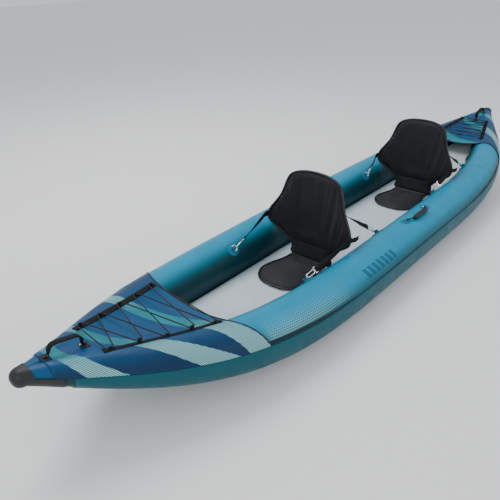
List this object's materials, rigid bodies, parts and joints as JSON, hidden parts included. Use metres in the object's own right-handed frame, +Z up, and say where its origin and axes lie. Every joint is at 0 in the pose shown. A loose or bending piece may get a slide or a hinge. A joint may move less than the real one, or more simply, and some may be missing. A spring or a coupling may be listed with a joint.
{
  "type": "inflatable kayak",
  "caption": "Two-seat inflatable kayak with decked ends, padded strapped seats, carry handles and flip-cap valves.",
  "frame": {"origin": "amidships on the centreline, on the plane that the hull bottom rests on", "axes": "+X to the bow, +Y to port, +Z up"},
  "size_m": [4.1, 0.9294, 0.5738],
  "materials": {
    "tube_cover": "satin coated cloth",
    "bladder": "satin film",
    "bottom_skin": "satin coated cloth",
    "floor": "matt coated cloth",
    "deck": "satin coated cloth",
    "black_rubber": "matt",
    "black_webbing": "woven",
    "bungee": "braided",
    "black_plastic": "fine texture",
    "steel": "polished",
    "valve_plastic": "fine texture",
    "seat_fabric": "woven"
  },
  "bodies": {
    "hull": {"port_side_tube_cover": "tube_cover", "starboard_side_tube_cover": "tube_cover", "port_bladder": "bladder", "starboard_bladder": "bladder", "bottom_skin": "bottom_skin", "floor_panel": "floor", "bow_deck": "deck", "bow_nose_cap": "black_rubber", "bow_deck_webbing": "black_webbing", "bow_bungee": "bungee", "bow_handle_anchors": "black_webbing", "stern_deck": "deck", "stern_nose_cap": "black_rubber", "stern_deck_webbing": "black_webbing", "stern_bungee": "bungee", "stern_handle_anchors": "black_webbing", "stern_cord_lock": "black_plastic", "carry_handle_anchors": "black_webbing", "d_ring_patches": "black_rubber", "d_rings": "steel", "fin_box": "black_rubber", "port_valve_body": "valve_plastic", "starboard_valve_body": "valve_plastic", "floor_valve_body": "valve_plastic", "front_seat_pad": "seat_fabric", "front_seat_snap_hooks": "steel", "front_seat_port_front_strap": "black_webbing", "front_seat_port_rear_strap": "black_webbing", "front_seat_starboard_front_strap": "black_webbing", "front_seat_starboard_rear_strap": "black_webbing", "rear_seat_pad": "seat_fabric", "rear_seat_snap_hooks": "steel", "rear_seat_port_front_strap": "black_webbing", "rear_seat_port_rear_strap": "black_webbing", "rear_seat_starboard_front_strap": "black_webbing", "rear_seat_starboard_rear_strap": "black_webbing"},
    "front_backrest_body": {"front_backrest": "seat_fabric", "front_seat_ladder_locks": "black_plastic"},
    "rear_backrest_body": {"rear_backrest": "seat_fabric", "rear_seat_ladder_locks": "black_plastic"},
    "bow_grab_handle_body": {"bow_grab_handle": "black_webbing"},
    "stern_grab_handle_body": {"stern_grab_handle": "black_webbing"},
    "port_carry_handle_body": {"port_carry_handle": "black_rubber"},
    "starboard_carry_handle_body": {"starboard_carry_handle": "black_rubber"},
    "floor_valve_cap_body": {"floor_valve_cap": "valve_plastic"},
    "floor_valve_plunger_body": {"floor_valve_plunger": "valve_plastic"},
    "port_valve_cap_body": {"port_valve_cap": "valve_plastic"},
    "port_valve_plunger_body": {"port_valve_plunger": "valve_plastic"},
    "starboard_valve_cap_body": {"starboard_valve_cap": "valve_plastic"},
    "starboard_valve_plunger_body": {"starboard_valve_plunger": "valve_plastic"},
    "front_seat_port_front_gate_body": {"front_seat_port_front_gate": "steel"},
    "front_seat_port_rear_gate_body": {"front_seat_port_rear_gate": "steel"},
    "front_seat_starboard_front_gate_body": {"front_seat_starboard_front_gate": "steel"},
    "front_seat_starboard_rear_gate_body": {"front_seat_starboard_rear_gate": "steel"},
    "rear_seat_port_front_gate_body": {"rear_seat_port_front_gate": "steel"},
    "rear_seat_port_rear_gate_body": {"rear_seat_port_rear_gate": "steel"},
    "rear_seat_starboard_front_gate_body": {"rear_seat_starboard_front_gate": "steel"},
    "rear_seat_starboard_rear_gate_body": {"rear_seat_starboard_rear_gate": "steel"}
  },
  "joints": [
    {"name": "front_backrest_recline", "type": "hinge", "parent": "hull", "child": "front_backrest_body", "pos_m": [0.433, 0, 0.0909], "axis": [0, 1, 0], "range_deg": [-20, 15], "deforming": ["front_seat_port_front_strap", "front_seat_port_rear_strap", "front_seat_starboard_front_strap", "front_seat_starboard_rear_strap"]},
    {"name": "rear_backrest_recline", "type": "hinge", "parent": "hull", "child": "rear_backrest_body", "pos_m": [-0.762, 0, 0.09387], "axis": [0, 1, 0], "range_deg": [-20, 15], "deforming": ["rear_seat_port_front_strap", "rear_seat_port_rear_strap", "rear_seat_starboard_front_strap", "rear_seat_starboard_rear_strap"]},
    {"name": "bow_grab_handle_swing", "type": "hinge", "parent": "hull", "child": "bow_grab_handle_body", "pos_m": [1.85494, 0, 0.38055], "axis": [0.9724, 0, 0.2332], "range_deg": [-60, 60], "stiffness_Nm_per_rad": 0.03},
    {"name": "stern_grab_handle_swing", "type": "hinge", "parent": "hull", "child": "stern_grab_handle_body", "pos_m": [-1.85494, 0, 0.38055], "axis": [0.9724, 0, -0.2332], "range_deg": [-60, 60], "stiffness_Nm_per_rad": 0.03},
    {"name": "port_carry_handle_swing", "type": "hinge", "parent": "hull", "child": "port_carry_handle_body", "pos_m": [-0.0995, 0.33132, 0.26222], "axis": [1, 0, 0], "range_deg": [0, 155]},
    {"name": "starboard_carry_handle_swing", "type": "hinge", "parent": "hull", "child": "starboard_carry_handle_body", "pos_m": [-0.0995, -0.33132, 0.26222], "axis": [-1, 0, 0], "range_deg": [0, 155]},
    {"name": "floor_valve_cap_flip", "type": "hinge", "parent": "hull", "child": "floor_valve_cap_body", "pos_m": [-1.16852, 0, 0.12076], "axis": [0, -1, 0], "range_deg": [0, 150]},
    {"name": "floor_valve_plunger_press", "type": "slide", "parent": "hull", "child": "floor_valve_plunger_body", "axis": [-0.1172, 0, -0.9931], "range_m": [0, 0.004], "stiffness_N_per_m": 600, "springref_m": -0.002},
    {"name": "port_valve_cap_flip", "type": "hinge", "parent": "hull", "child": "port_valve_cap_body", "pos_m": [-1.26762, 0.16391, 0.23203], "axis": [-0.0176, -0.5031, -0.864], "range_deg": [0, 150]},
    {"name": "port_valve_plunger_press", "type": "slide", "parent": "hull", "child": "port_valve_plunger_body", "axis": [-0.2041, 0.8478, -0.4895], "range_m": [0, 0.004], "stiffness_N_per_m": 600, "springref_m": -0.002},
    {"name": "starboard_valve_cap_flip", "type": "hinge", "parent": "hull", "child": "starboard_valve_cap_body", "pos_m": [-1.26762, -0.16391, 0.23203], "axis": [0.0176, -0.5031, 0.864], "range_deg": [0, 150]},
    {"name": "starboard_valve_plunger_press", "type": "slide", "parent": "hull", "child": "starboard_valve_plunger_body", "axis": [-0.2041, -0.8478, -0.4895], "range_m": [0, 0.004], "stiffness_N_per_m": 600, "springref_m": -0.002},
    {"name": "front_seat_port_front_gate_open", "type": "hinge", "parent": "hull", "child": "front_seat_port_front_gate_body", "pos_m": [0.73983, 0.22672, 0.24556], "axis": [0.2755, 0.6983, 0.6607], "range_deg": [0, 20], "stiffness_Nm_per_rad": 0.05, "springref_deg": -17.19},
    {"name": "front_seat_port_rear_gate_open", "type": "hinge", "parent": "hull", "child": "front_seat_port_rear_gate_body", "pos_m": [0.20106, 0.21741, 0.25885], "axis": [0.1986, -0.7875, -0.5835], "range_deg": [0, 20], "stiffness_Nm_per_rad": 0.05, "springref_deg": -17.19},
    {"name": "front_seat_starboard_front_gate_open", "type": "hinge", "parent": "hull", "child": "front_seat_starboard_front_gate_body", "pos_m": [0.73983, -0.22672, 0.24556], "axis": [-0.2755, 0.6983, -0.6607], "range_deg": [0, 20], "stiffness_Nm_per_rad": 0.05, "springref_deg": -17.19},
    {"name": "front_seat_starboard_rear_gate_open", "type": "hinge", "parent": "hull", "child": "front_seat_starboard_rear_gate_body", "pos_m": [0.20106, -0.21741, 0.25885], "axis": [-0.1986, -0.7875, 0.5835], "range_deg": [0, 20], "stiffness_Nm_per_rad": 0.05, "springref_deg": -17.19},
    {"name": "rear_seat_port_front_gate_open", "type": "hinge", "parent": "hull", "child": "rear_seat_port_front_gate_body", "pos_m": [-0.57503, 0.23323, 0.2511], "axis": [0.4444, 0.703, 0.5552], "range_deg": [0, 20], "stiffness_Nm_per_rad": 0.05, "springref_deg": -17.19},
    {"name": "rear_seat_port_rear_gate_open", "type": "hinge", "parent": "hull", "child": "rear_seat_port_rear_gate_body", "pos_m": [-1.00853, 0.19509, 0.27055], "axis": [0.2501, -0.7659, -0.5923], "range_deg": [0, 20], "stiffness_Nm_per_rad": 0.05, "springref_deg": -17.19},
    {"name": "rear_seat_starboard_front_gate_open", "type": "hinge", "parent": "hull", "child": "rear_seat_starboard_front_gate_body", "pos_m": [-0.57503, -0.23323, 0.2511], "axis": [-0.4444, 0.703, -0.5552], "range_deg": [0, 20], "stiffness_Nm_per_rad": 0.05, "springref_deg": -17.19},
    {"name": "rear_seat_starboard_rear_gate_open", "type": "hinge", "parent": "hull", "child": "rear_seat_starboard_rear_gate_body", "pos_m": [-1.00853, -0.19509, 0.27055], "axis": [-0.2501, -0.7659, 0.5923], "range_deg": [0, 20], "stiffness_Nm_per_rad": 0.05, "springref_deg": -17.19}
  ]
}
